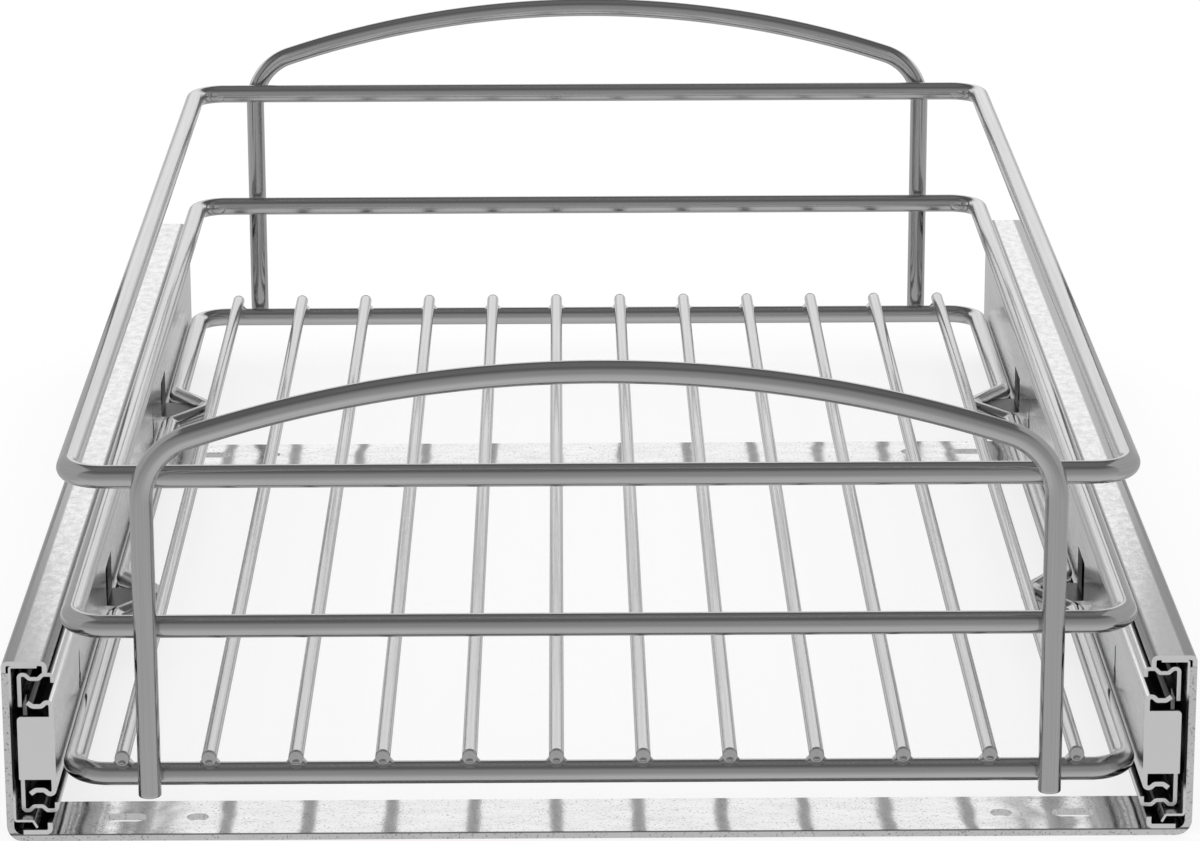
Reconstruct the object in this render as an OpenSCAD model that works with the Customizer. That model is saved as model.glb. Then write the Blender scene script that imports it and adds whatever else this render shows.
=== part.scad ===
// Pull-out cabinet basket: a chromed wire basket that runs on two full-extension ball-bearing
// slides, tied together by two sheet-metal crossbars that screw down to the cabinet floor.
// +Z is up and the front faces -Y, so the basket pulls out along -Y.
// The origin is on the undersides of the crossbars, below the middle of the basket.

/* [Basket] */
// Overall width over the bottom ring
basket_w = 270; // [240:0.1:420]
// How much narrower each ring is than the one below it
ring_taper = 0.8; // [0:0.1:2]
// Overall depth over the wire rings
basket_d = 446; // [400:1:600]
// Thickness of the ring and handle wire
ring_wire_d = 5.8; // [4.5:0.1:6.5]
// Bend radius of the ring corners, at the wire's centre
ring_corner_r = 9.5; // [7:0.5:16]
// Spacing of the three rings, one above the other
ring_pitch = 38.8; // [30:0.1:60]
// Thickness of the floor wires
floor_wire_d = 3.8; // [3:0.1:4.5]
// Number of floor wires
floor_wire_count = 12; // [8:1:16]
// Distance from the bottom ring's side wires' centres to the outermost floor wires
floor_edge = 13; // [12.6:0.1:15.6]

/* [Handles] */
// Height of the bow handles' tops above the top ring, centre to centre
handle_rise = 27.9; // [24:0.1:45]
// Distance from the bottom ring's side wires' centres to the handle legs
leg_inset = 20; // [18.5:0.25:40]
// Slope of the bow where it meets its corner bends
bow_slope = 18; // [14:1:24]
// Bend radius of the bow's corners, at the wire's centre
bow_corner_r = 17; // [12:0.5:22]
// Length of the legs below the bottom ring's centre
leg_tail = 3.7; // [3:0.1:8]

/* [Hook notches] */
// How far each notch in the bottom ring bends inwards, at the wire's centre
notch_depth = 10.75; // [9.5:0.25:11.5]
// Length of each notch along the side wire
notch_len = 34; // [30:1:44]
// Bend radius of the notch bends, at the wire's centre
notch_bend_r = 5.5; // [4.5:0.25:6]
// Distance from the slide fronts to the middle of the front notches
notch_setback = 144; // [110:1:160]
// Distance between the front and rear notches
notch_pitch = 187; // [150:1:230]

/* [Slides] */
// Length of the slides
slide_len = 450; // [440:10:600]
// Height of the slides
slide_h = 45.7; // [45:0.1:48]
// Thickness of each slide, closed
slide_t = 12.7; // [12.5:0.1:14]
// Distance by which the slides stand out in front of the rings
slide_lead = 3.2; // [1:0.1:12]
// Gap between the bottom ring and the slides
side_gap = 0.3; // [0.3:0.05:3]
// Drop of the bottom ring's centre below the slides' mid-height
ring_drop = 9.05; // [8:0.05:9.5]
// Sheet thickness of the outer rails
outer_t = 1.2; // [1:0.1:1.4]
// Sheet thickness of the middle rails
middle_t = 1; // [0.8:0.1:1.1]
// Sheet thickness of the inner rails
inner_t = 1.2; // [1:0.1:1.3]
// Sheet thickness of the ball cages
cage_t = 0.5; // [0.4:0.05:0.6]
// Diameter of the balls between the outer and middle rails
outer_ball_d = 3.6; // [3.2:0.1:3.9]
// Diameter of the balls between the middle and inner rails
inner_ball_d = 4; // [3.6:0.1:4.2]
// Spacing of the balls in a row
ball_pitch = 20; // [12:1:40]

/* [Crossbars] */
// Depth of each crossbar, front to back
bar_depth = 22.8; // [18:0.1:30]
// Sheet thickness of the crossbars
bar_t = 1.8; // [1.2:0.1:1.9]
// Outer bend radius where the crossbars turn up into their ears
bar_bend_r = 4; // [3.5:0.1:4.5]
// Distance from the rear crossbar to the slides' rear ends
rear_bar_inset = 109.8; // [60:0.1:150]
// Height of rail left above each ear
ear_drop = 3.1; // [2.6:0.1:8]
// Diameter of the round screw holes
screw_hole_d = 5.5; // [4:0.1:8]
// Distance of the round screw holes from the outer faces of the slides
screw_hole_inset = 46.7; // [42:0.1:80]
// Width of the adjusting slots
slot_w = 5.5; // [4:0.1:8]
// Overall length of the adjusting slots
slot_len = 11; // [9:0.1:16]
// Distance of the adjusting slots from the outer faces of the slides
slot_inset = 28.5; // [26:0.1:31]

/* [Fits] */
// Clearance at each wire joint and beside each ear
joint_gap = 0.1; // [0.05:0.05:0.2]
// Running clearance above and below each ball
ball_gap = 0.35; // [0.3:0.05:0.45]
// Clearance of each ball in its cage
pocket_gap = 0.1; // [0.05:0.05:0.2]
// Clearance between the hook tongues and the notch wire
hook_gap = 0.2; // [0.1:0.05:0.4]
// Gap between the inner rails and the rear stops, closed
stop_gap = 0.3; // [0.3:0.1:1]

/* [Hidden] */
floor_wire_names = [for (i = [1:floor_wire_count]) str("floor_wire_", i)];

$fn = 48;
// Angle of one step along a bend in sheet metal
bend_step = 15;
// Reach of a cutting shape past the face it opens
past = 1;
// A wire is this much thinner in its bends, which run this far into the straight wire
bend_thinning = 0.02;
bend_lap = 0.2;
// Bend radius of rolled sheet at the middle of its thickness, as a share of that thickness
bend_share = 0.8;
// Facets round each ball and each ball pocket
ball_facets = 24;

// Basket
ring_half_w = (basket_w - ring_wire_d) / 2;
ring_half_d = (basket_d - ring_wire_d) / 2;
frame_half_w = basket_w / 2 + side_gap + slide_t;
slide_mid_z = bar_t + slide_h / 2;
bottom_ring_z = slide_mid_z - ring_drop;
top_ring_z = bottom_ring_z + 2 * ring_pitch;
floor_half_w = ring_half_w - floor_edge;
floor_pitch = 2 * floor_half_w / (floor_wire_count - 1);
floor_wire_z = bottom_ring_z + (ring_wire_d + floor_wire_d) / 2 + joint_gap;

// Handles
leg_x = ring_half_w - leg_inset;
leg_y = ring_half_d + ring_wire_d + joint_gap;
// Straight stretch between each corner bend and the bow
bow_straight = 2;
bow_corner_trim = bow_corner_r * tan((90 - bow_slope) / 2);
bow_r = (leg_x / cos(bow_slope) - bow_corner_trim - bow_straight) / tan(bow_slope);
// Where the two tangents of the bow meet, above its top
bow_peak_z = top_ring_z + handle_rise + bow_r * (1 / cos(bow_slope) - 1);

// Slides: u runs inwards from a slide's outer face, v up from its mid-height
slide_front_y = -basket_d / 2 - slide_lead;
slide_half_h = slide_h / 2;
// Free space on each side of an outer cage, and of an inner cage
outer_cage_gap = 0.85;
inner_cage_gap = 0.5;
middle_u = outer_t + 2 * outer_cage_gap + cage_t;
inner_lip_u = middle_u + middle_t + 2 * inner_cage_gap + cage_t + inner_t / 4;
// Centre lines of the outer and inner ball races, and the grooves rolled for them
outer_race_u = 7.6;
inner_race_u = 8.6;
groove_half_w = 1.1;
middle_groove_depth = 1.1;
inner_groove_depth = 1;
outer_flange_v = slide_half_h - outer_t;
middle_groove_v = outer_flange_v - outer_ball_d - 2 * ball_gap;
middle_rim_v = middle_groove_v + middle_groove_depth;
inner_groove_v = middle_groove_v - middle_t - inner_ball_d - 2 * ball_gap;
inner_rim_v = inner_groove_v + inner_groove_depth;
outer_race = [outer_race_u, (outer_flange_v + middle_groove_v) / 2];
inner_race = [inner_race_u, (middle_groove_v - middle_t + inner_groove_v) / 2];
// Rolled lips along the rails' free edges
outer_lip_inset = 1.3;
outer_lip_h = 3.1;
middle_lip_h = 2.6;
// The middle rails sit back from both ends of the slides, and their webs are cut back in front
middle_setback = 4;
web_relief = 10;
web_relief_half_h = 9.5;
inner_len = slide_len - outer_t - stop_gap;
// Front clips and stop tabs
clip_t = 0.6;
clip_len = 12;
clip_u = max(outer_t, bar_t) + clip_t / 2;
clip_reach = 8.9;
clip_gap = 0.5;
clip_shelf_v = middle_rim_v + clip_gap + clip_t / 2;
clip_shelf_reach = 6.6;
clip_hook_reach = 1;
tab_half_h = 8.3;
tab_u = 3.5;
tab_corner_r = 1;
// Cages: long enough to carry the balls, short enough to stay inside both rails when open
cage_end_gap = 2.5;
cage_y = slide_len / 4 + clip_len + cage_end_gap;
cage_len = slide_len / 2 - middle_setback - clip_len - 2 * cage_end_gap;
cage_edge = 0.4;
ball_end_gap = 10;
ball_steps = floor((cage_len - 2 * ball_end_gap) / ball_pitch);
ball_row_y = cage_y + (cage_len - ball_steps * ball_pitch) / 2;

// Hook notches, windows and tongues
notch_ys = [for (i = [0, 1]) slide_front_y + notch_setback + i * notch_pitch];
notch_slope = atan(notch_depth / (notch_len / 2));
// The rounded notch stops short of its sharp corner, so the corner lies a little deeper
notch_corner = notch_depth + notch_bend_r * (1 / cos(notch_slope) - 1);
window_len = 16;
opening_u = slide_t - 2 * inner_t;
tongue_reach = side_gap + ring_wire_d / 2 + notch_corner;
window_h = side_gap + notch_depth - hook_gap;
// Keyhole openings in the inner rails
keyhole_setback = 62;
keyhole_pitch = 231;
keyhole_d = 5;
keyhole_slot_w = 2.2;
keyhole_drop = 4;
keyhole_slot_h = 8;

// Crossbars
bar_ys = [slide_front_y, slide_front_y + slide_len - rear_bar_inset - bar_depth];
ear_top_z = bar_t + slide_h - ear_drop;
hole_x = frame_half_w - screw_hole_inset;
slot_x = frame_half_w - slot_inset;

// A path is a list of corner points; each corner is rounded by its own bend radius.
function around(list, i) = list[(i + len(list)) % len(list)];
function reversed(list) = [for (i = [len(list) - 1:-1:0]) list[i]];
function stretch(path, i) = around(path, i + 1) - around(path, i);
function direction(path, i) = stretch(path, i) / norm(stretch(path, i));
function heading(path, i) = atan2(direction(path, i).y, direction(path, i).x);
function cross_z(a, b) = a.x * b.y - a.y * b.x;
function turn(path, i) =
    let (a = direction(path, i - 1), b = direction(path, i)) atan2(cross_z(a, b), a * b);
function trim(path, radii, i) = radii[i] * tan(abs(turn(path, i)) / 2);
// Centre of the bend at corner i, on the left of the path where it turns left
function bend_centre(path, radii, i) =
    let (a = direction(path, i - 1), s = sign(turn(path, i)))
    path[i] - a * trim(path, radii, i) + s * radii[i] * [-a.y, a.x];
function bend_start(path, i) = heading(path, i - 1) - 90 * sign(turn(path, i));

// One bend of a sheet's surface, at an offset to the left of the path
function bend_arc(path, radii, i, off) =
    let (
        t = turn(path, i),
        steps = max(2, ceil(abs(t) / bend_step)),
        r = radii[i] - sign(t) * off,
        c = bend_centre(path, radii, i)
    )
    [for (k = [0:steps]) let (a = bend_start(path, i) + t * k / steps) c + r * [cos(a), sin(a)]];
function end_point(path, i, along, off) =
    let (a = direction(path, along)) path[i] + off * [-a.y, a.x];
function sheet_side(path, radii, off) =
    let (last = len(path) - 1)
    concat(
        [end_point(path, 0, 0, off)],
        [for (i = [1:last - 1]) each bend_arc(path, radii, i, off)],
        [end_point(path, last, last - 1, off)]
    );
// Outline of a bent sheet of thickness t that follows a path
function sheet_outline(path, radii, t) =
    concat(sheet_side(path, radii, t / 2), reversed(sheet_side(path, radii, -t / 2)));
function same_radii(path, r) = [for (p = path) r];
// A rail's whole centre line, from its upper half
function both_halves(half) = concat([for (p = reversed(half)) [p.x, -p.y]], half);

// Round wire along a path in the XY plane
module wire(path, radii, d, closed) {
    last = len(path) - 1;
    for (i = [0:closed ? last : last - 1]) {
        next = closed ? (i + 1) % len(path) : i + 1;
        start = radii[i] > 0 ? trim(path, radii, i) : 0;
        end = radii[next] > 0 ? trim(path, radii, next) : 0;
        translate(path[i] + direction(path, i) * start)
            rotate([0, 90, heading(path, i)])
            cylinder(d = d, h = norm(stretch(path, i)) - start - end);
    }
    for (i = [0:last])
        if (radii[i] > 0) {
            t = turn(path, i);
            lap = bend_lap / radii[i] * 180 / PI;
            translate(bend_centre(path, radii, i))
                rotate([0, 0, bend_start(path, i) + min(t, 0) - lap])
                rotate_extrude(angle = abs(t) + 2 * lap)
                translate([radii[i], 0])
                circle(d = d - bend_thinning);
        }
}

// Bent sheet, its outline in u and v, running back along +Y from the slide's front
module rolled(path, t, len) {
    translate([0, len, 0])
        rotate([90, 0, 0])
        linear_extrude(height = len)
        polygon(sheet_outline(path, same_radii(path, bend_share * t), t));
}

module on_left() {
    translate([-frame_half_w, slide_front_y, slide_mid_z]) children();
}

module on_right() {
    mirror([1, 0, 0]) on_left() children();
}

// ---- Crossbars ----

module screw_slot() {
    half = (slot_len - slot_w) / 2;
    for (side = [-1, 1])
        translate([side * half, 0, -past]) cylinder(d = slot_w, h = bar_t + 2 * past);
    translate([-half, -slot_w / 2, -past]) cube([2 * half, slot_w, bar_t + 2 * past]);
}

module crossbar(front_y) {
    side_x = frame_half_w - bar_t / 2;
    path = [[-side_x, ear_top_z], [-side_x, bar_t / 2], [side_x, bar_t / 2], [side_x, ear_top_z]];
    difference() {
        translate([0, front_y + bar_depth, 0])
            rotate([90, 0, 0])
            linear_extrude(height = bar_depth)
            polygon(sheet_outline(path, same_radii(path, bar_bend_r - bar_t / 2), bar_t));
        for (side = [-1, 1]) {
            translate([side * hole_x, front_y + bar_depth / 2, -past])
                cylinder(d = screw_hole_d, h = bar_t + 2 * past);
            translate([side * slot_x, front_y + bar_depth / 2, 0]) screw_slot();
        }
    }
}

module front_crossbar() {
    color("gainsboro") crossbar(bar_ys[0]);
}

module rear_crossbar() {
    color("gainsboro") crossbar(bar_ys[1]);
}

// ---- Slides, drawn from the slide's front, outer face and mid-height ----

// Space in an outer rail for a crossbar's ear and its bend
module ear_notch(front) {
    side_cut = outer_t + joint_gap;
    corner_cut = bar_bend_r + joint_gap;
    y = front - joint_gap;
    len = bar_depth + 2 * joint_gap;
    translate([-past, y, -slide_half_h - past])
        cube([side_cut + past, len, ear_top_z - slide_mid_z + joint_gap + slide_half_h + past]);
    translate([-past, y, -slide_half_h - past])
        cube([corner_cut + past, len, corner_cut - bar_t + past]);
}

module outer_rail() {
    lip_u = slide_t - outer_lip_inset - outer_t / 2;
    half = [
        [outer_t / 2, slide_half_h - outer_t / 2],
        [lip_u, slide_half_h - outer_t / 2],
        [lip_u, slide_half_h - outer_lip_h]
    ];
    difference() {
        rolled(both_halves(half), outer_t, slide_len);
        for (y = bar_ys) ear_notch(y - slide_front_y);
    }
    // Rear stop, bent in from the web
    translate([outer_t / 2, slide_len - outer_t, -tab_half_h])
        cube([lip_u - outer_t, outer_t, 2 * tab_half_h]);
}

module front_clip() {
    shelf_v = -clip_shelf_v;
    top_v = outer_flange_v - clip_t / 2;
    path = [
        [clip_reach, top_v],
        [clip_u, top_v],
        [clip_u, shelf_v],
        [clip_shelf_reach, shelf_v],
        [clip_shelf_reach + clip_hook_reach, -outer_flange_v + clip_t]
    ];
    rolled(path, clip_t, clip_len);
}

module middle_rail() {
    web_u = middle_u + middle_t / 2;
    lip_u = slide_t - middle_t / 2;
    rim_v = middle_rim_v - middle_t / 2;
    groove_v = middle_groove_v - middle_t / 2;
    half = [
        [web_u, rim_v],
        [outer_race_u - groove_half_w - middle_groove_depth, rim_v],
        [outer_race_u - groove_half_w, groove_v],
        [outer_race_u + groove_half_w, groove_v],
        [outer_race_u + groove_half_w + middle_groove_depth, rim_v],
        [lip_u, rim_v],
        [lip_u, middle_rim_v - middle_lip_h]
    ];
    difference() {
        translate([0, middle_setback, 0])
            rolled(both_halves(half), middle_t, slide_len - 2 * middle_setback);
        translate([0, 0, -web_relief_half_h])
            cube([middle_u + middle_t + past, middle_setback + web_relief, 2 * web_relief_half_h]);
    }
}

// A race is the u and v of its centre line above the slide's mid-height
module ball_rows(race, size) {
    for (side = [-1, 1], i = [0:ball_steps])
        translate([race.x, ball_row_y + i * ball_pitch, side * race.y])
            sphere(d = size, $fn = ball_facets);
}

module ball_cage(web_u, race, ball_d) {
    edge_u = race.x + ball_d / 2 + pocket_gap + cage_edge;
    difference() {
        translate([0, cage_y, 0])
            rolled(both_halves([[web_u, race.y], [edge_u, race.y]]), cage_t, cage_len);
        ball_rows(race, ball_d + 2 * pocket_gap);
    }
}

module outer_ball_cage() {
    ball_cage(outer_t + outer_cage_gap + cage_t / 2, outer_race, outer_ball_d);
}

module outer_balls() {
    ball_rows(outer_race, outer_ball_d);
}

module inner_ball_cage() {
    ball_cage(middle_u + middle_t + inner_cage_gap + cage_t / 2, inner_race, inner_ball_d);
}

module inner_balls() {
    ball_rows(inner_race, inner_ball_d);
}

// Stop tab, turned out from the front edge of an inner rail's web
module stop_tab() {
    width = slide_t - tab_u;
    translate([tab_u, inner_t, 0])
        rotate([90, 0, 0])
        linear_extrude(height = inner_t)
        union() {
            translate([0, -tab_half_h]) square([width, 2 * tab_half_h - tab_corner_r]);
            translate([tab_corner_r, -tab_half_h]) square([width - tab_corner_r, 2 * tab_half_h]);
            translate([tab_corner_r, tab_half_h - tab_corner_r]) circle(r = tab_corner_r);
        }
}

module keyhole() {
    rotate([0, 90, 0]) cylinder(d = keyhole_d, h = 2 * slide_t);
    translate([0, -keyhole_slot_w / 2, 0]) cube([2 * slide_t, keyhole_slot_w, keyhole_slot_h]);
}

// Tongue that hooks into a notch: level with the wire and cut back to clear it
module tongue(y) {
    mouth = ring_wire_d / 2 + side_gap;
    half = window_len / 2;
    flank = mouth + notch_corner * (1 - half / (notch_len / 2));
    outline = [[0, -half], [flank, -half], [tongue_reach, 0], [flank, half], [0, half]];
    difference() {
        translate([slide_t - inner_t / 2, y, -ring_drop - inner_t / 2])
            linear_extrude(height = inner_t)
            polygon([for (p = outline) p + [p.x > 0 ? inner_t / 2 : 0, 0]]);
        translate([slide_t + mouth, y, -ring_drop])
            rotate([0, 0, -90])
            wire(notch_path(), notch_radii(), ring_wire_d + 2 * hook_gap, false);
    }
}

module inner_rail() {
    web_u = slide_t - inner_t / 2;
    rim_v = inner_rim_v - inner_t / 2;
    groove_v = inner_groove_v - inner_t / 2;
    half = [
        [web_u, rim_v],
        [inner_race_u + groove_half_w + inner_groove_depth, rim_v],
        [inner_race_u + groove_half_w, groove_v],
        [inner_race_u - groove_half_w, groove_v],
        [inner_lip_u, rim_v]
    ];
    hook_ys = [for (y = notch_ys) y - slide_front_y];
    difference() {
        rolled(both_halves(half), inner_t, inner_len);
        for (y = hook_ys)
            translate([opening_u, y - window_len / 2, -ring_drop + inner_t / 2])
                cube([slide_t, window_len, window_h]);
        for (i = [0, 1])
            translate([opening_u, keyhole_setback + i * keyhole_pitch, -keyhole_drop]) keyhole();
    }
    stop_tab();
    for (y = hook_ys) tongue(y);
}

module left_outer_rail() { color("silver") on_left() outer_rail(); }
module left_front_clip() { color("lightgray") on_left() front_clip(); }
module left_outer_ball_cage() { color("darkgray") on_left() outer_ball_cage(); }
module left_outer_balls() { color("dimgray") on_left() outer_balls(); }
module left_middle_rail() { color("silver") on_left() middle_rail(); }
module left_inner_ball_cage() { color("darkgray") on_left() inner_ball_cage(); }
module left_inner_balls() { color("dimgray") on_left() inner_balls(); }
module left_inner_rail() { color("silver") on_left() inner_rail(); }

module right_outer_rail() { color("silver") on_right() outer_rail(); }
module right_front_clip() { color("lightgray") on_right() front_clip(); }
module right_outer_ball_cage() { color("darkgray") on_right() outer_ball_cage(); }
module right_outer_balls() { color("dimgray") on_right() outer_balls(); }
module right_middle_rail() { color("silver") on_right() middle_rail(); }
module right_inner_ball_cage() { color("darkgray") on_right() inner_ball_cage(); }
module right_inner_balls() { color("dimgray") on_right() inner_balls(); }
module right_inner_rail() { color("silver") on_right() inner_rail(); }

// ---- Basket ----

// One notch along +X, dipping towards +Y
function notch_points() = [[-notch_len / 2, 0], [0, notch_corner], [notch_len / 2, 0]];
function notch_path() = concat([[-notch_len, 0]], notch_points(), [[notch_len, 0]]);
function notch_radii() = [0, notch_bend_r, notch_bend_r, notch_bend_r, 0];
// The notches of the right side wire, from front to back
function right_notches() =
    [for (y = notch_ys) each [for (p = notch_points()) [ring_half_w - p.y, y + p.x]]];

// A plain ring, this many rings above the bottom one
module plain_ring(level) {
    half_w = ring_half_w - level * ring_taper / 2;
    corners = [
        [-half_w, -ring_half_d],
        [half_w, -ring_half_d],
        [half_w, ring_half_d],
        [-half_w, ring_half_d]
    ];
    translate([0, 0, bottom_ring_z + level * ring_pitch])
        wire(corners, same_radii(corners, ring_corner_r), ring_wire_d, true);
}

module top_ring() {
    color("silver") plain_ring(2);
}

module middle_ring() {
    color("silver") plain_ring(1);
}

module bottom_ring() {
    right = concat(
        [[ring_half_w, -ring_half_d]],
        right_notches(),
        [[ring_half_w, ring_half_d]]
    );
    side_radii = concat(
        [ring_corner_r],
        same_radii(right_notches(), notch_bend_r),
        [ring_corner_r]
    );
    path = concat(right, [for (p = reversed(right)) [-p.x, p.y]]);
    color("silver")
        translate([0, 0, bottom_ring_z])
        wire(path, concat(side_radii, side_radii), ring_wire_d, true);
}

// Bow handle: two legs and an arch in one bent wire
module bow_handle(y) {
    corner_z = bow_peak_z - leg_x * tan(bow_slope);
    foot_z = bottom_ring_z - leg_tail;
    path = [[-leg_x, foot_z], [-leg_x, corner_z], [0, bow_peak_z], [leg_x, corner_z], [leg_x, foot_z]];
    radii = [0, bow_corner_r, bow_r, bow_corner_r, 0];
    color("silver") translate([0, y, 0]) rotate([90, 0, 0]) wire(path, radii, ring_wire_d, false);
}

module front_bow_handle() {
    bow_handle(-leg_y);
}

module rear_bow_handle() {
    bow_handle(leg_y);
}

module floor_wire(i) {
    color("silver")
        translate([(i - 1) * floor_pitch - floor_half_w, -basket_d / 2, floor_wire_z])
        rotate([-90, 0, 0])
        cylinder(d = floor_wire_d, h = basket_d);
}

front_crossbar();
rear_crossbar();
left_outer_rail();
left_front_clip();
left_outer_ball_cage();
left_outer_balls();
left_middle_rail();
left_inner_ball_cage();
left_inner_balls();
left_inner_rail();
right_outer_rail();
right_front_clip();
right_outer_ball_cage();
right_outer_balls();
right_middle_rail();
right_inner_ball_cage();
right_inner_balls();
right_inner_rail();
top_ring();
middle_ring();
bottom_ring();
front_bow_handle();
rear_bow_handle();
for (i = [1:floor_wire_count]) floor_wire(i);
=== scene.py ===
import math

import bpy
import numpy as np
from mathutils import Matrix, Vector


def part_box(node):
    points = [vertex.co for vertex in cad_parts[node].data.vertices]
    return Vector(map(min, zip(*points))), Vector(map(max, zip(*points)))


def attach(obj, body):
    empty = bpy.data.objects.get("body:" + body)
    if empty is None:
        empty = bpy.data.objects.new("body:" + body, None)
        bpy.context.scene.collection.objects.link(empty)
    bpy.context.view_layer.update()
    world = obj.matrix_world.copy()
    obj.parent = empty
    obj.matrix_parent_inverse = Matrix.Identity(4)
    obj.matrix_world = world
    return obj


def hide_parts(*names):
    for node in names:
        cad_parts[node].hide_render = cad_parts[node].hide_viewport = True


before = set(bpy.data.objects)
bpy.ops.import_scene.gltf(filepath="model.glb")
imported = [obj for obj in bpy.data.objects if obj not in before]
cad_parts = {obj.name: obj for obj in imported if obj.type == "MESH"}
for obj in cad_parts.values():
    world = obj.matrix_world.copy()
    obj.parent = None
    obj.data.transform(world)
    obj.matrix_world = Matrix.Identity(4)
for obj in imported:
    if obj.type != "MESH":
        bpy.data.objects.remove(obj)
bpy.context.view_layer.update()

MM = 0.001
MICRON = 0.000001

# ---- Wires, in metres ----

WIRE_SIDES = 32
CHORD_ERROR = 8 * MICRON
RING_CORNER_R = 0.0095
BOW_CORNER_R = 0.017
BOW_STRAIGHT = 0.002
BOW_SLOPE = math.radians(18)
NOTCH_COUNT = 2
NOTCH_BEND_R = 0.0055
NOTCH_DEPTH = 0.01075
NOTCH_LEN = 0.034
NOTCH_SETBACK = 0.144
NOTCH_PITCH = 0.187
# Wire ends: distance back from the tip, and the radius there as a share of the wire's
SAWN_BACK = np.array([0, 0.04, 0.12, 0.26, 0.5, 0.9, 1.0, 1.1]) * MM
SAWN_WIDTH = np.array([0.78, 0.88, 0.945, 0.98, 0.995, 1, 1, 1])
SHEARED_BACK = np.array([0, 0.05, 0.14, 0.28, 0.42, 0.5, 0.58, 0.66, 0.8, 1.0, 1.1, 1.2]) * MM
SHEARED_WIDTH = np.array([0.88, 0.95, 0.985, 1, 0.985, 0.92, 0.84, 0.87, 0.95, 1, 1, 1])
# Weld beads: half the height of a bead, its radius at the middle, and how far it flares along each wire
BEAD_HALF = 0.0013
BEAD_WAIST = 0.0026
BEAD_FLARE = 0.0013
BEAD_SIDES = 20
BEAD_RINGS = 7
WELD_GAP = 0.0001

# ---- Marks and tones of the metal ----

NOISE_ROUGHNESS = 0.6
LINE_DETAIL = 3.0
SWELL_DETAIL = 1.0
SPECKLE_DETAIL = 2.0
# Drawing lines show where their noise lies between these
LINE_FAINT, LINE_CLEAR = 0.3, 0.7
# Shares of the marks in the clouding of the tone, and in the gloss
CLOUD_OF_LINES, CLOUD_OF_SWELL = 0.6, 0.4
GLOSS_OF_LINES, GLOSS_OF_SPECKLE = 0.5, 0.5
# Pits start where the speckle falls below the first, and are full below the second
PIT_START, PIT_FULL = 0.42, 0.34
PIT_TONE = 0.2
# Tone of the painted shade line along the crossbars' front top edges
EDGE_LINE_SHADE = 0.2
# Faces that look along the slide, by how far their normal does: sheared edges, plain and bright
SHEARED_START, SHEARED_FULL = 0.5, 0.7
SHEARED_TONE = 0.93
SHEARED_ROUGHNESS = 0.3
# Tone and roughness of the grease inside the slides, which also paints the shade of their dark insides
GREASE_AND_SHADE = (0.065, 0.32)

# ---- Studio ----

# Brightness that the metal mirrors, by the sine of the height above the horizon
FRONT_TONES = [(-1, 0.62), (-0.81, 0.68), (-0.5, 0.62), (-0.34, 0.54), (-0.16, 0.46), (0.02, 0.4),
               (0.36, 0.37), (0.515, 0.345), (0.656, 0.25), (0.777, 0.157), (0.883, 0.141), (0.956, 0.19),
               (1, 0.2)]
BACK_TONES = [(-1, 0.62), (-0.98, 0.5), (-0.82, 0.42), (-0.36, 0.6), (-0.28, 0.44), (-0.2, 0.62),
              (-0.12, 0.8), (-0.04, 0.55), (0.0, 0.36), (0.03, 0.7), (0.07, 0.86), (0.14, 0.92),
              (0.18, 1.12), (0.325, 1.02), (0.42, 1.0), (0.54, 0.13), (0.83, 0.13), (0.945, 0.23), (1, 0.2)]
# The front's tones pass into the back's between these sines of the turn towards the back
FRONT_END, BACK_START = 0.1, 0.5
FLOOR_HALF = 6.0
FLOOR_PAINT = 0.26
FLOOR_GLOW = 0.76
# The two flags: grey cards beside the basket
FLAG_ASIDE = 0.185
FLAG_NEAR = -0.25
FLAG_FAR = 0.15
# Above the slides, so that their outer faces do not mirror a flag
FLAG_LOW = 0.05
FLAG_HIGH = 0.235
# Brightness by the depth
FLAG_TONES = [(-1, 0.52), (0.1, 0.5), (0.11, 0.08), (0.15, 0.08)]

CAMERA_PLACE = (-0.0089, -1.3145, 0.4272)
CAMERA_YAW = math.radians(0.48)
CAMERA_PITCH = math.radians(16.308)
CAMERA_ROLL = math.radians(-0.14)
CAMERA_LENS = 139.74
CAMERA_SENSOR = 36
CAMERA_REACH = 50


def box_of(node):
    """Lowest and highest corners of a CAD node, as two arrays."""
    low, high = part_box(node)
    return np.array(low, float), np.array(high, float)


# ---- Surfaces of the wires and beads ----


def bent_line(corners, radii, closed):
    """Centre line of a bent wire. At a corner where the path turns by an angle t, an arc of bend radius r
    starts r * tan(t / 2) before the corner: centre - r * cos(s) * side + r * sin(s) * ahead, s from 0 to t.
    The arc's steps keep the chord within CHORD_ERROR of the arc."""
    corners = np.array(corners, float)
    points = []
    for i, r in enumerate(radii):
        if r == 0:
            points.append(corners[i][None])
            continue
        ahead = corners[i] - corners[i - 1]
        after = corners[(i + 1) % len(corners)] - corners[i]
        ahead, after = ahead / np.linalg.norm(ahead), after / np.linalg.norm(after)
        turn = math.acos(np.clip(ahead @ after, -1, 1))
        side = after - (ahead @ after) * ahead
        side = side / np.linalg.norm(side)
        centre = corners[i] - ahead * r * math.tan(turn / 2) + side * r
        step = 2 * math.acos(1 - CHORD_ERROR / r)
        s = np.linspace(0, turn, max(4, math.ceil(turn / step)) + 1)[:, None]
        points.append(centre + r * (np.sin(s) * ahead - np.cos(s) * side))
    return np.concatenate(points + ([points[0][:1]] if closed else []))


def with_ends(line, radius, back, width):
    """An open centre line with the rings of its two ends put in, and the radius at each point: an end's ring
    stands the distance 'back' from the tip, with the radius times 'width'."""
    first = (line[1] - line[0]) / np.linalg.norm(line[1] - line[0])
    last = (line[-1] - line[-2]) / np.linalg.norm(line[-1] - line[-2])
    head = line[0] + back[:, None] * first
    tail = (line[-1] - back[:, None] * last)[::-1]
    points = np.concatenate([head, line[1:-1], tail])
    radii = radius * np.concatenate([width, np.ones(len(line) - 2), width[::-1]])
    return points, radii


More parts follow.
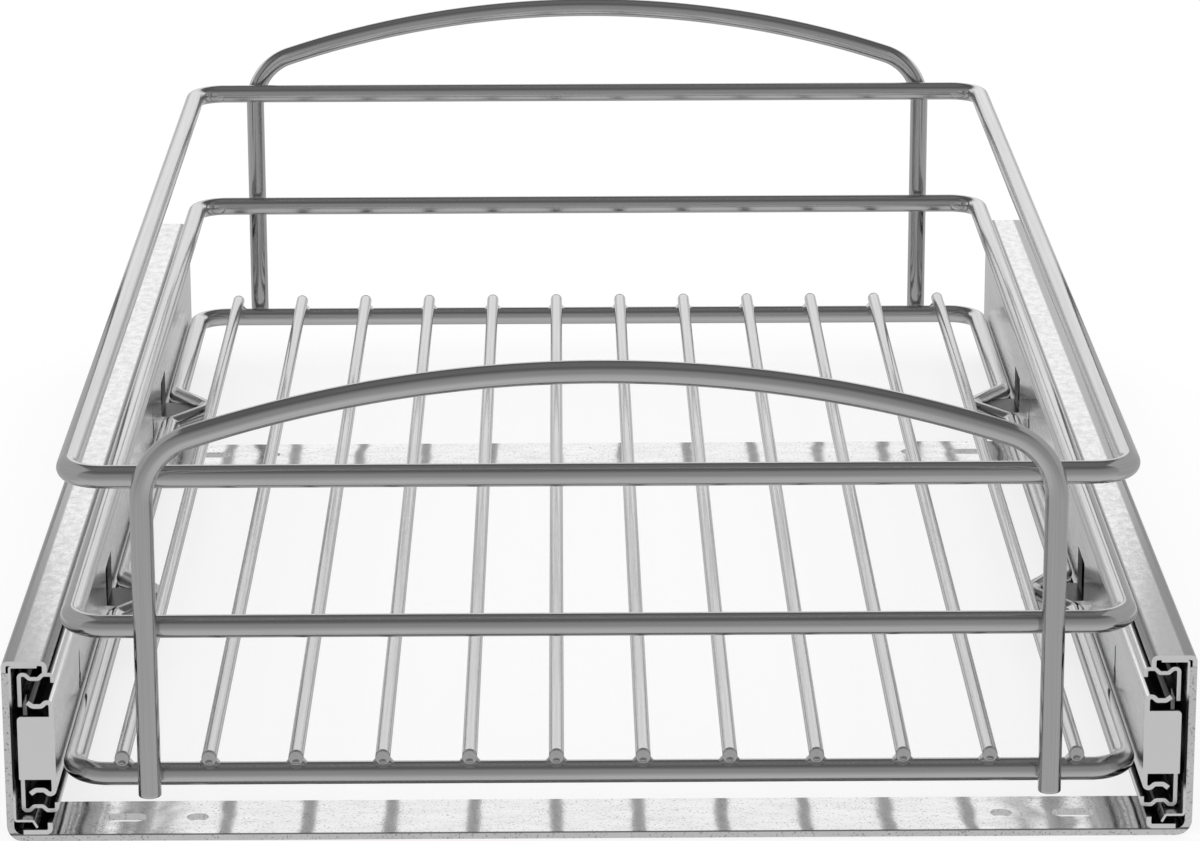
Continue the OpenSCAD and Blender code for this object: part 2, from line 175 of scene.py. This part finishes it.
def wire_grid(line, radii, up, closed):
    """Surface of a round wire on a flat centre line: at the point P with tangent T and radius r, the ring
    P + r * (cos v * (up x T) + sin v * up). Also gives the wire's straightened coordinates, which are the
    length along it, r * cos v and r * sin v."""
    step = np.diff(line, axis=0)
    length = np.linalg.norm(step, axis=1)
    step = step / length[:, None]
    before = step[-1:] if closed else step[:1]
    after = step[:1] if closed else step[-1:]
    tangent = np.concatenate([before, step]) + np.concatenate([step, after])
    tangent = tangent / np.linalg.norm(tangent, axis=1)[:, None]
    side = np.cross(up, tangent)
    side = side / np.linalg.norm(side, axis=1)[:, None]
    v = np.arange(WIRE_SIDES + 1) * 2 * math.pi / WIRE_SIDES
    around = np.cos(v)[None, :, None] * side[:, None] + np.sin(v)[None, :, None] * np.array(up, float)
    grid = line[:, None] + radii[:, None, None] * around
    along = np.concatenate([[0], np.cumsum(length)])
    straight = np.empty_like(grid)
    straight[..., 0] = along[:, None]
    straight[..., 1] = radii[:, None] * np.cos(v)
    straight[..., 2] = radii[:, None] * np.sin(v)
    return grid, straight


def bead_grid(centre, axis, first, second):
    """Weld bead between two crossing wires. It is a stack of ellipses along the axis from one wire to the
    other; at the height h its half widths are waist - flare * h along the first wire's cross direction and
    waist + flare * h along the second's, so it spreads along each wire where it meets it."""
    h = np.linspace(-1, 1, BEAD_RINGS)
    v = np.arange(BEAD_SIDES + 1) * 2 * math.pi / BEAD_SIDES
    wide = (BEAD_WAIST - BEAD_FLARE * h)[:, None] * np.cos(v)
    tall = (BEAD_WAIST + BEAD_FLARE * h)[:, None] * np.sin(v)
    rise = np.repeat(h[:, None] * BEAD_HALF, len(v), 1)
    local = np.stack([rise, wide, tall], -1)
    return np.array(centre, float) + local @ np.array([axis, first, second], float), local


def grid_mesh(name, grids, closed):
    """One mesh from grids of rings whose last column repeats the first. Quads run from ring to ring, facing
    out; an open grid's two ends are closed by one flat face each, and a closed grid's last ring is its first.
    The straightened coordinates go into the attribute wire_space."""
    verts, faces, space, flat = [], [], [], []
    base = 0
    for grid, straight in grids:
        rings, sides = grid.shape[0], grid.shape[1] - 1
        kept = rings - 1 if closed else rings
        i, j = (a.ravel() for a in np.meshgrid(np.arange(rings - 1), np.arange(sides), indexing="ij"))
        ahead, beside = (i + 1) % kept, (j + 1) % sides
        quads = np.stack([i * sides + j, i * sides + beside, ahead * sides + beside, ahead * sides + j], -1)
        faces += (base + quads).tolist()
        corners = [straight[i, j], straight[i, j + 1], straight[i + 1, j + 1], straight[i + 1, j]]
        space.append(np.stack(corners, 1).reshape(-1, 3))
        flat += [False] * len(quads)
        if not closed:
            first, last = np.arange(sides)[::-1], (rings - 1) * sides + np.arange(sides)
            faces += [(base + first).tolist(), (base + last).tolist()]
            space += [straight[0, :-1][::-1], straight[-1, :-1]]
            flat += [True, True]
        verts.append(grid[:kept, :-1].reshape(-1, 3))
        base += kept * sides
    mesh = bpy.data.meshes.new(name)
    mesh.from_pydata(np.concatenate(verts).tolist(), [], faces)
    layer = mesh.attributes.new("wire_space", "FLOAT_VECTOR", "CORNER")
    layer.data.foreach_set("vector", np.concatenate(space).astype(np.float32).ravel())
    mesh.polygons.foreach_set("use_smooth", np.logical_not(flat))
    return mesh


# ---- Pieces of the basket ----


def add_piece(mesh, *nodes):
    """Put a mesh in the scene as a piece of the basket that stands for CAD nodes, if any are named."""
    piece = bpy.data.objects.new(mesh.name, mesh)
    bpy.context.scene.collection.objects.link(piece)
    mesh.materials.append(wire_chrome)
    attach(piece, "basket")
    if nodes:
        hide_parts(*nodes)


def ring_wire(name, corners, radii, radius, node):
    """Level ring of wire bent at its corners."""
    line = bent_line(corners, radii, True)
    grid = wire_grid(line, np.full(len(line), radius), (0, 0, 1), True)
    add_piece(grid_mesh(name, [grid], True), node)


def open_wire(name, corners, radii, radius, up, back, width, node):
    """Wire with two ends, shaped as back and width say. It lies in the plane across up."""
    line, widths = with_ends(bent_line(corners, radii, False), radius, back, width)
    add_piece(grid_mesh(name, [wire_grid(line, widths, up, False)], False), node)


# ---- Shader helpers ----


def grey(tone):
    """Opaque colour of one tone."""
    return (tone, tone, tone, 1.0)


def new_group(name, inputs, outputs):
    """Shader node group with named sockets, the outputs of its first node and the inputs of its last."""
    group = bpy.data.node_groups.new(name, "ShaderNodeTree")
    for label, kind, value in inputs:
        socket = group.interface.new_socket(label, in_out="INPUT", socket_type=kind)
        if value is not None:
            socket.default_value = value
    for label in outputs:
        group.interface.new_socket(label, in_out="OUTPUT", socket_type="NodeSocketFloat")
    return group, group.nodes.new("NodeGroupInput").outputs, group.nodes.new("NodeGroupOutput").inputs


def plug(tree, socket, value):
    """Link a socket to another socket, or set it to a number."""
    if isinstance(value, bpy.types.NodeSocket):
        tree.links.new(value, socket)
    else:
        socket.default_value = value


def use_group(tree, group, values):
    """Place a group with its named inputs linked or set. Gives its outputs."""
    node = tree.nodes.new("ShaderNodeGroup")
    node.node_tree = group
    for label, value in values.items():
        plug(tree, node.inputs[label], value)
    return node.outputs


def split(tree, vector):
    """X, Y and Z of a vector."""
    node = tree.nodes.new("ShaderNodeSeparateXYZ")
    tree.links.new(vector, node.inputs["Vector"])
    return node.outputs


def scaled(tree, vector, scale):
    """Vector times its own scale on each axis."""
    node = tree.nodes.new("ShaderNodeMapping")
    node.inputs["Scale"].default_value = scale
    tree.links.new(vector, node.inputs["Vector"])
    return node.outputs["Vector"]


def calc(tree, operation, *values):
    """Result of one sum on numbers or sockets."""
    node = tree.nodes.new("ShaderNodeMath")
    node.operation = operation
    for socket, value in zip(node.inputs, values):
        plug(tree, socket, value)
    return node.outputs[0]


def ease(tree, value, start, end):
    """0 at start, 1 at end, smooth between them and flat beyond."""
    node = tree.nodes.new("ShaderNodeMapRange")
    node.interpolation_type = "SMOOTHSTEP"
    plug(tree, node.inputs["Value"], value)
    plug(tree, node.inputs["From Min"], start)
    plug(tree, node.inputs["From Max"], end)
    return node.outputs["Result"]


def noise(tree, vector, scale, detail):
    """Smooth noise from 0 to 1."""
    node = tree.nodes.new("ShaderNodeTexNoise")
    node.inputs["Detail"].default_value = detail
    node.inputs["Roughness"].default_value = NOISE_ROUGHNESS
    plug(tree, node.inputs["Vector"], vector)
    plug(tree, node.inputs["Scale"], scale)
    return node.outputs["Fac"]


def number_mix(tree, factor, low, high):
    """Number between two by a factor."""
    node = tree.nodes.new("ShaderNodeMix")
    node.data_type = "FLOAT"
    for socket, value in (("Factor", factor), ("A", low), ("B", high)):
        plug(tree, node.inputs[socket], value)
    return node.outputs["Result"]


def tone_mix(tree, factor, low, high):
    """Colour between two colours or tones of grey by a factor."""
    node = tree.nodes.new("ShaderNodeMix")
    node.data_type = "RGBA"
    plug(tree, node.inputs["Factor"], factor)
    for socket, tone in (("A", low), ("B", high)):
        plug(tree, node.inputs[socket], tone if isinstance(tone, bpy.types.NodeSocket) else grey(tone))
    return node.outputs["Result"]


def tone_ramp(tree, place, tones):
    """Grey by a place between -1 and 1, from pairs of place and tone."""
    node = tree.nodes.new("ShaderNodeValToRGB")
    elements = node.color_ramp.elements
    while len(elements) < len(tones):
        elements.new(0.5)
    for element, (at, tone) in zip(elements, tones):
        element.position = (at + 1) / 2
        element.color = grey(tone)
    tree.links.new(calc(tree, "MULTIPLY_ADD", place, 0.5, 0.5), node.inputs["Fac"])
    return node.outputs["Color"]


# ---- Effects that the metals share ----


def drawing_marks_group():
    """Marks of drawing and plating: long fine lines along the metal, a slow swell of its surface and a fine
    speckle. Lines come from noise on coordinates stretched by the material's mapping."""
    inputs = [
        ("Stretched", "NodeSocketVector", None),
        ("Plain", "NodeSocketVector", None),
        ("Swell Scale", "NodeSocketFloat", 60.0),
        ("Speckle Scale", "NodeSocketFloat", 900.0),
    ]
    group, given, result = new_group("drawing_marks", inputs, ["Lines", "Swell", "Speckle"])
    lines = noise(group, given["Stretched"], 1.0, LINE_DETAIL)
    swell = noise(group, given["Plain"], given["Swell Scale"], SWELL_DETAIL)
    speckle = noise(group, given["Plain"], given["Speckle Scale"], SPECKLE_DETAIL)
    group.links.new(ease(group, lines, LINE_FAINT, LINE_CLEAR), result["Lines"])
    group.links.new(swell, result["Swell"])
    group.links.new(speckle, result["Speckle"])
    return group


def slide_zone_group():
    """Mask of one zone of a slide's section. With u the distance in from the slide's outer face and v the
    height above or below its middle, it is 1 where both lie within their limits, falling to 0 over the
    softness. It fades out to 0 at the reach behind the slide's front end. On Sheared is its share on the
    sheared faces that look along the slide. Those have their own mask too."""
    inputs = [
        ("Place", "NodeSocketVector", None),
        ("Normal", "NodeSocketVector", None),
        ("Outer Face", "NodeSocketFloat", slide_outer_face),
        ("Middle Height", "NodeSocketFloat", slide_middle),
        ("Inner Limit", "NodeSocketFloat", 0.0),
        ("Outer Limit", "NodeSocketFloat", 0.0),
        ("Low Limit", "NodeSocketFloat", 0.0),
        ("High Limit", "NodeSocketFloat", 0.0),
        ("Softness", "NodeSocketFloat", 0.0001),
        ("Front End", "NodeSocketFloat", slide_front),
        ("Reach", "NodeSocketFloat", 1.0),
        ("Fade", "NodeSocketFloat", 0.03),
        ("On Sheared", "NodeSocketFloat", 0.0),
    ]
    group, given, result = new_group("slide_zone", inputs, ["Zone", "Sheared Face"])
    place, facing = split(group, given["Place"]), split(group, given["Normal"])
    u = calc(group, "SUBTRACT", given["Outer Face"], calc(group, "ABSOLUTE", place["X"]))
    v = calc(group, "ABSOLUTE", calc(group, "SUBTRACT", place["Z"], given["Middle Height"]))
    behind = calc(group, "SUBTRACT", place["Y"], given["Front End"])
    sheared = ease(group, calc(group, "ABSOLUTE", facing["Y"]), SHEARED_START, SHEARED_FULL)
    kept_off = calc(group, "MULTIPLY", sheared, calc(group, "SUBTRACT", 1.0, given["On Sheared"]))
    mask = calc(group, "SUBTRACT", 1.0, kept_off)
    for value, low, high in ((u, "Inner Limit", "Outer Limit"), (v, "Low Limit", "High Limit")):
        above = ease(group, value, calc(group, "SUBTRACT", given[low], given["Softness"]), given[low])
        below = ease(group, value, calc(group, "ADD", given[high], given["Softness"]), given[high])
        mask = calc(group, "MULTIPLY", mask, calc(group, "MULTIPLY", above, below))
    near = ease(group, behind, given["Reach"], calc(group, "SUBTRACT", given["Reach"], given["Fade"]))
    group.links.new(calc(group, "MULTIPLY", mask, near), result["Zone"])
    group.links.new(sheared, result["Sheared Face"])
    return group


def painted_edge_line_group():
    """Mask of the painted shade line where a crossbar's top face meets its front face: 1 within the width of
    the edge on both faces, falling to 0 at twice the width. The edge lies at the height Edge Z and the depth
    Edge Y."""
    inputs = [
        ("Place", "NodeSocketVector", None),
        ("Edge Y", "NodeSocketFloat", 0.0),
        ("Edge Z", "NodeSocketFloat", 0.0),
        ("Width", "NodeSocketFloat", 0.0002),
    ]
    group, given, result = new_group("painted_edge_line", inputs, ["Line"])
    place = split(group, given["Place"])
    aside = calc(group, "ABSOLUTE", calc(group, "SUBTRACT", place["Y"], given["Edge Y"]))
    below = calc(group, "ABSOLUTE", calc(group, "SUBTRACT", place["Z"], given["Edge Z"]))
    farther = calc(group, "MAXIMUM", aside, below)
    twice = calc(group, "MULTIPLY", given["Width"], 2.0)
    group.links.new(ease(group, farther, twice, given["Width"]), result["Line"])
    return group


# ---- Metals ----


def zone(across, up, softness, tone, roughness, reach=1.0, on_sheared=0.0):
    """Zone of a slide's section for metal(): its limits in u and in v, its softness, its tone and roughness,
    how far it reaches behind the slide's front end and its share on sheared faces."""
    values = dict(zip(("Inner Limit", "Outer Limit", "Low Limit", "High Limit"), across + up))
    values.update({"Softness": softness, "Reach": reach, "On Sheared": on_sheared})
    return values, tone, roughness


def metal(name, tones, rough, stretch, lines, swell, speckle, follow_wire=False, zones=(), pitting=0.0,
          edges=()):
    """Plated steel. It clouds between its dark and its light tone, and its roughness between the lowest and
    the highest. stretch is the scale of the drawing lines along each axis and lines their depth. swell and
    speckle each give a scale and a depth. Depths are in metres. zones are made by zone(); they paint grease
    and shade. pitting is the share by which the deepest specks darken. Each of the edges gives the depth
    and height of a crossbar's front top edge, along which a dark line of shade is painted."""
    material = bpy.data.materials.new(name)
    material.use_nodes = True
    tree = material.node_tree
    shader = tree.nodes["Principled BSDF"].inputs
    shader["Metallic"].default_value = 1.0
    coords = tree.nodes.new("ShaderNodeTexCoord").outputs
    place = coords["Object"]
    if follow_wire:
        space = tree.nodes.new("ShaderNodeAttribute")
        space.attribute_name = "wire_space"
        place = space.outputs["Vector"]
    (swell_scale, swell_depth), (speckle_scale, speckle_depth) = swell, speckle
    marks = use_group(tree, drawing_marks, {"Stretched": scaled(tree, place, stretch), "Plain": place,
                                            "Swell Scale": swell_scale, "Speckle Scale": speckle_scale})

    cloud = calc(tree, "MULTIPLY", marks["Swell"], CLOUD_OF_SWELL)
    cloud = calc(tree, "MULTIPLY_ADD", marks["Lines"], CLOUD_OF_LINES, cloud)
    colour = tone_mix(tree, cloud, *tones)
    gloss = calc(tree, "MULTIPLY", marks["Speckle"], GLOSS_OF_SPECKLE)
    gloss = calc(tree, "MULTIPLY_ADD", marks["Lines"], GLOSS_OF_LINES, gloss)
    lowest, highest = rough
    roughness = number_mix(tree, gloss, highest, lowest)
    if pitting:
        pits = calc(tree, "MULTIPLY", ease(tree, marks["Speckle"], PIT_START, PIT_FULL), pitting)
        colour = tone_mix(tree, pits, colour, PIT_TONE)
    # Painted shade: a dark line along each crossbar's front top edge
    for depth, height in edges:
        edge = use_group(tree, painted_edge_line, {"Place": place, "Edge Y": depth, "Edge Z": height})
        colour = tone_mix(tree, edge["Line"], colour, EDGE_LINE_SHADE)
    # Zones of grease and of painted shade; sheared faces get their own plain tone
    for values, zone_tone, zone_roughness in zones:
        masks = use_group(tree, slide_zone, {"Place": place, "Normal": coords["Normal"], **values})
        for mask, over, over_roughness in (("Sheared Face", SHEARED_TONE, SHEARED_ROUGHNESS),
                                           ("Zone", zone_tone, zone_roughness)):
            colour = tone_mix(tree, masks[mask], colour, over)
            roughness = number_mix(tree, masks[mask], roughness, over_roughness)
    tree.links.new(colour, shader["Base Color"])
    tree.links.new(roughness, shader["Roughness"])

    height = calc(tree, "MULTIPLY", marks["Lines"], lines)
    height = calc(tree, "MULTIPLY_ADD", marks["Swell"], swell_depth, height)
    height = calc(tree, "MULTIPLY_ADD", marks["Speckle"], speckle_depth, height)
    bump = tree.nodes.new("ShaderNodeBump")
    bump.inputs["Strength"].default_value = 1.0
    bump.inputs["Distance"].default_value = 1.0
    tree.links.new(height, bump.inputs["Height"])
    tree.links.new(bump.outputs["Normal"], shader["Normal"])
    return material


rail_low, rail_high = box_of("left_outer_rail")
slide_outer_face = -rail_low[0]
slide_middle = (rail_low[2] + rail_high[2]) / 2
slide_front = rail_low[1]
# The bars' top faces lie under the rails
bar_edges = [(box_of(node)[0][1], rail_low[2]) for node in ("front_crossbar", "rear_crossbar")]
drawing_marks = drawing_marks_group()
slide_zone = slide_zone_group()
painted_edge_line = painted_edge_line_group()

# Stretches of the drawing lines, and limits in v
ALONG_WIRE = (24.0, 1900.0, 1900.0)
ALONG_SLIDE = (1500.0, 14.0, 1500.0)
ALL_HEIGHTS = (0.0, 0.03)
INSIDE = (0.0, 0.0217)
RACES = (0.0125, 0.0217)

wire_chrome = metal("wire_chrome", tones=(0.53, 0.6), rough=(0.1, 0.2), stretch=ALONG_WIRE,
                    lines=4 * MICRON, swell=(40.0, 6 * MICRON), speckle=(1500.0, 0.4 * MICRON),
                    follow_wire=True)
bar_chrome = metal("bar_chrome", tones=(0.78, 0.88), rough=(0.07, 0.17), stretch=(90.0, 300.0, 90.0),
                   lines=3 * MICRON, swell=(48.0, 420 * MICRON), speckle=(1500.0, 6 * MICRON),
                   pitting=0.5, edges=bar_edges)
outer_zones = [
    # A strip of painted shade just inside the outer wall
    zone((0.0006, 0.003), ALL_HEIGHTS, 0.0007, 0.42, 0.28),
    # Painted shade on the lips that curl in towards the basket
    zone((0.0101, 0.02), ALL_HEIGHTS, 0.0006, 0.26, 0.24),
    # Grease and painted shade inside the front end
    zone((0.00118, 0.0112), (0.0, 0.02166), 0.00005, *GREASE_AND_SHADE, reach=0.1),
]
outer_plating = metal("outer_rail_plating", tones=(0.76, 0.92), rough=(0.16, 0.3),
                      stretch=(420.0, 240.0, 420.0), lines=4 * MICRON, swell=(50.0, 14 * MICRON),
                      speckle=(1500.0, 6 * MICRON), pitting=0.22, zones=outer_zones)
middle_zones = [
    # Grease and painted shade all over the front end, and farther back in the races only
    zone((0.0012, 0.0117), INSIDE, 0.0002, *GREASE_AND_SHADE, reach=0.02),
    zone((0.0012, 0.0117), RACES, 0.0002, *GREASE_AND_SHADE),
]
middle_plating = metal("middle_rail_plating", tones=(0.68, 0.97), rough=(0.12, 0.24), stretch=ALONG_SLIDE,
                       lines=3 * MICRON, swell=(50.0, 10 * MICRON), speckle=(1300.0, 0.8 * MICRON),
                       zones=middle_zones)
inner_zones = [
    # Grease and painted shade on the hidden side
    zone((0.0012, 0.0114), INSIDE, 0.00005, *GREASE_AND_SHADE),
    # Painted shade on the hooks' tongues, which sit in the dips of the bottom ring
    zone((0.01278, 0.04), ALL_HEIGHTS, 0.00005, 0.055, 0.26),
]
inner_plating = metal("inner_rail_plating", tones=(0.7, 0.98), rough=(0.12, 0.24), stretch=ALONG_SLIDE,
                      lines=3.5 * MICRON, swell=(50.0, 10 * MICRON), speckle=(1300.0, 0.8 * MICRON),
                      zones=inner_zones)
# Painted shade on the front of the clip's web, its sheared face too
clip_web_shade = zone((0.0015, 0.0026), (0.0, 0.0105), 0.003, 0.03, 0.4, on_sheared=1.0)
clip_steel = metal("clip_steel", tones=(0.72, 0.82), rough=(0.2, 0.34), stretch=(400.0, 400.0, 400.0),
                   lines=1 * MICRON, swell=(80.0, 10 * MICRON), speckle=(1500.0, 1 * MICRON),
                   zones=[clip_web_shade])
# Dark tone of the cage: grease and painted shade of the slides' insides
cage_steel = metal("cage_steel", tones=(0.1, 0.2), rough=(0.3, 0.5), stretch=ALONG_SLIDE,
                   lines=2 * MICRON, swell=(80.0, 10 * MICRON), speckle=(1500.0, 1 * MICRON))
ball_steel = metal("ball_steel", tones=(0.4, 0.55), rough=(0.06, 0.16), stretch=(600.0, 600.0, 600.0),
                   lines=0.5 * MICRON, swell=(200.0, 1 * MICRON), speckle=(2500.0, 0.4 * MICRON))

# ---- Basket ----

for node in ("top_ring", "middle_ring"):
    low, high = box_of(node)
    radius = (high[2] - low[2]) / 2
    x, y, z = high[0] - radius, high[1] - radius, (low[2] + high[2]) / 2
    corners = [(-x, -y, z), (x, -y, z), (x, y, z), (-x, y, z)]
    ring_wire(f"{node}_wire", corners, [RING_CORNER_R] * 4, radius, node)

# The bottom ring's sides dip in at the notches. Each dip's corner lies past the notch's depth, because its
# bend rounds it off
low, high = box_of("bottom_ring")
ring_r = (high[2] - low[2]) / 2
ring_x, ring_y, ring_z = high[0] - ring_r, high[1] - ring_r, (low[2] + high[2]) / 2
notch_slope = math.atan(NOTCH_DEPTH / (NOTCH_LEN / 2))
notch_corner = NOTCH_DEPTH + NOTCH_BEND_R * (1 / math.cos(notch_slope) - 1)
right_side = [(ring_x, -ring_y, ring_z)]
for k in range(NOTCH_COUNT):
    notch_y = slide_front + NOTCH_SETBACK + k * NOTCH_PITCH
    for ahead, depth in ((-NOTCH_LEN / 2, 0), (0, notch_corner), (NOTCH_LEN / 2, 0)):
        right_side.append((ring_x - depth, notch_y + ahead, ring_z))
right_side.append((ring_x, ring_y, ring_z))
left_side = [(-x, y, z) for x, y, z in reversed(right_side)]
side_radii = [RING_CORNER_R] + [NOTCH_BEND_R] * (len(right_side) - 2) + [RING_CORNER_R]
ring_wire("bottom_ring_wire", right_side + left_side, side_radii * 2, ring_r, "bottom_ring")

# A handle's bow is one arc. It ends at the slope, a short straight before the bend into each leg
beads = []
for node in ("front_bow_handle", "rear_bow_handle"):
    low, high = box_of(node)
    radius = (high[1] - low[1]) / 2
    x, y = high[0] - radius, (low[1] + high[1]) / 2
    corner_trim = BOW_CORNER_R * math.tan((math.pi / 2 - BOW_SLOPE) / 2)
    bow_r = (x / math.cos(BOW_SLOPE) - corner_trim - BOW_STRAIGHT) / math.tan(BOW_SLOPE)
    peak = high[2] - radius + bow_r * (1 / math.cos(BOW_SLOPE) - 1)
    corner = peak - x * math.tan(BOW_SLOPE)
    path = [(-x, y, low[2]), (-x, y, corner), (0, y, peak), (x, y, corner), (x, y, low[2])]
    open_wire(f"{node}_wire", path, [0, BOW_CORNER_R, bow_r, BOW_CORNER_R, 0], radius, (0, 1, 0),
              SAWN_BACK, SAWN_WIDTH, node)
    outward = math.copysign(1, y)
    for ring in ("top_ring", "middle_ring", "bottom_ring"):
        ring_low, ring_high = box_of(ring)
        meet = outward * (ring_high[1] + WELD_GAP / 2)
        for side in (-1, 1):
            centre = (side * x, meet, (ring_low[2] + ring_high[2]) / 2)
            beads.append(bead_grid(centre, (0, outward, 0), (1, 0, 0), (0, 0, -outward)))

for node in sorted(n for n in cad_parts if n.startswith("floor_wire_")):
    low, high = box_of(node)
    radius = (high[0] - low[0]) / 2
    x, z = (low[0] + high[0]) / 2, (low[2] + high[2]) / 2
    open_wire(f"{node}_drawn", [(x, low[1], z), (x, high[1], z)], [0, 0], radius, (0, 0, 1),
              SHEARED_BACK, SHEARED_WIDTH, node)
    for y in (-ring_y, ring_y):
        beads.append(bead_grid((x, y, low[2] - WELD_GAP / 2), (0, 0, 1), (1, 0, 0), (0, 1, 0)))
add_piece(grid_mesh("weld_beads", beads, False))

# ---- Slides and crossbars keep their CAD shapes ----

FINISHES = {
    "crossbar": bar_chrome,
    "outer_rail": outer_plating,
    "middle_rail": middle_plating,
    "inner_rail": inner_plating,
    "clip": clip_steel,
    "cage": cage_steel,
    "balls": ball_steel,
}
for node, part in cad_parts.items():
    for ending, material in FINISHES.items():
        if node.endswith(ending):
            for slot in part.material_slots:
                slot.material = material

# ---- Studio ----


def studio_world():
    """White room. Only the metal's mirror rays see its grey front, its dark overhead and its white back."""
    world = bpy.data.worlds.new("studio")
    bpy.context.scene.world = world
    world.use_nodes = True
    tree = world.node_tree
    tree.nodes.clear()
    towards = split(tree, tree.nodes.new("ShaderNodeTexCoord").outputs["Generated"])
    front = tone_ramp(tree, towards["Z"], FRONT_TONES)
    back = tone_ramp(tree, towards["Z"], BACK_TONES)
    mirrored = tone_mix(tree, ease(tree, towards["Y"], FRONT_END, BACK_START), front, back)
    path = tree.nodes.new("ShaderNodeLightPath")
    light = tree.nodes.new("ShaderNodeBackground")
    tree.links.new(tone_mix(tree, path.outputs["Is Glossy Ray"], 1.0, mirrored), light.inputs["Color"])
    out = tree.nodes.new("ShaderNodeOutputWorld")
    tree.links.new(light.outputs["Background"], out.inputs["Surface"])


def bare_material(name):
    """Material with an output only, its node tree and its surface socket."""
    material = bpy.data.materials.new(name)
    material.use_nodes = True
    tree = material.node_tree
    tree.nodes.clear()
    return material, tree, tree.nodes.new("ShaderNodeOutputMaterial").inputs["Surface"]


def floor_material():
    """White floor that keeps a soft shadow: three quarters of its light is its own, one quarter falls on it.
    Mirror rays pass through it."""
    material, tree, surface = bare_material("pale_floor")
    paint = tree.nodes.new("ShaderNodeBsdfDiffuse")
    paint.inputs["Color"].default_value = grey(FLOOR_PAINT)
    glow = tree.nodes.new("ShaderNodeEmission")
    glow.inputs["Color"].default_value = grey(FLOOR_GLOW)
    both = tree.nodes.new("ShaderNodeAddShader")
    tree.links.new(paint.outputs["BSDF"], both.inputs[0])
    tree.links.new(glow.outputs["Emission"], both.inputs[1])
    clear = tree.nodes.new("ShaderNodeBsdfTransparent")
    path = tree.nodes.new("ShaderNodeLightPath")
    seen = tree.nodes.new("ShaderNodeMixShader")
    tree.links.new(path.outputs["Is Glossy Ray"], seen.inputs["Fac"])
    tree.links.new(both.outputs["Shader"], seen.inputs[1])
    tree.links.new(clear.outputs["BSDF"], seen.inputs[2])
    tree.links.new(seen.outputs["Shader"], surface)
    return material


def flag_material():
    """Card that glows in its greys by the depth."""
    material, tree, surface = bare_material("flag_card")
    place = split(tree, tree.nodes.new("ShaderNodeTexCoord").outputs["Object"])
    glow = tree.nodes.new("ShaderNodeEmission")
    tree.links.new(tone_ramp(tree, place["Y"], FLAG_TONES), glow.inputs["Color"])
    tree.links.new(glow.outputs["Emission"], surface)
    return material


def studio_sheet(name, corners, material):
    """Flat sheet with four corners."""
    mesh = bpy.data.meshes.new(name)
    mesh.from_pydata(corners, [], [(0, 1, 2, 3)])
    mesh.materials.append(material)
    sheet = bpy.data.objects.new(name, mesh)
    bpy.context.scene.collection.objects.link(sheet)
    return sheet


def add_floor():
    half = FLOOR_HALF
    corners = [(-half, -half, 0), (half, -half, 0), (half, half, 0), (-half, half, 0)]
    floor = studio_sheet("studio_floor", corners, floor_material())


def add_flag(side):
    """Upright grey card beside the front half of the basket, with a dark strip along its rear edge. Only
    mirror rays see it: it darkens the outer side of the side wires, in a band that narrows towards the
    rear."""
    x = side * FLAG_ASIDE
    corners = [(x, FLAG_NEAR, FLAG_LOW), (x, FLAG_FAR, FLAG_LOW), (x, FLAG_FAR, FLAG_HIGH),
               (x, FLAG_NEAR, FLAG_HIGH)]
    flag = studio_sheet("studio_flag", corners, flag_material())
    flag.visible_camera = False
    flag.visible_diffuse = False
    flag.visible_transmission = False
    flag.visible_shadow = False


def add_camera():
    """Camera that looks along (sin yaw cos pitch, cos yaw cos pitch, -sin pitch), then rolls."""
    yaw, pitch, roll = CAMERA_YAW, CAMERA_PITCH, CAMERA_ROLL
    ahead = np.array([math.sin(yaw) * math.cos(pitch), math.cos(yaw) * math.cos(pitch), -math.sin(pitch)])
    across = np.array([math.cos(yaw), -math.sin(yaw), 0.0])
    upward = np.cross(across, ahead)
    matrix = np.eye(4)
    matrix[:3, 0] = math.cos(roll) * across + math.sin(roll) * upward
    matrix[:3, 1] = math.cos(roll) * upward - math.sin(roll) * across
    matrix[:3, 2] = -ahead
    matrix[:3, 3] = CAMERA_PLACE
    data = bpy.data.cameras.new("camera")
    data.lens = CAMERA_LENS
    data.sensor_width = CAMERA_SENSOR
    data.clip_end = CAMERA_REACH
    camera = bpy.data.objects.new("camera", data)
    camera.matrix_world = matrix.T.tolist()
    bpy.context.scene.collection.objects.link(camera)
    bpy.context.scene.camera = camera


studio_world()
add_floor()
add_flag(-1)
add_flag(1)
add_camera()
bpy.context.scene.view_settings.view_transform = "Standard"
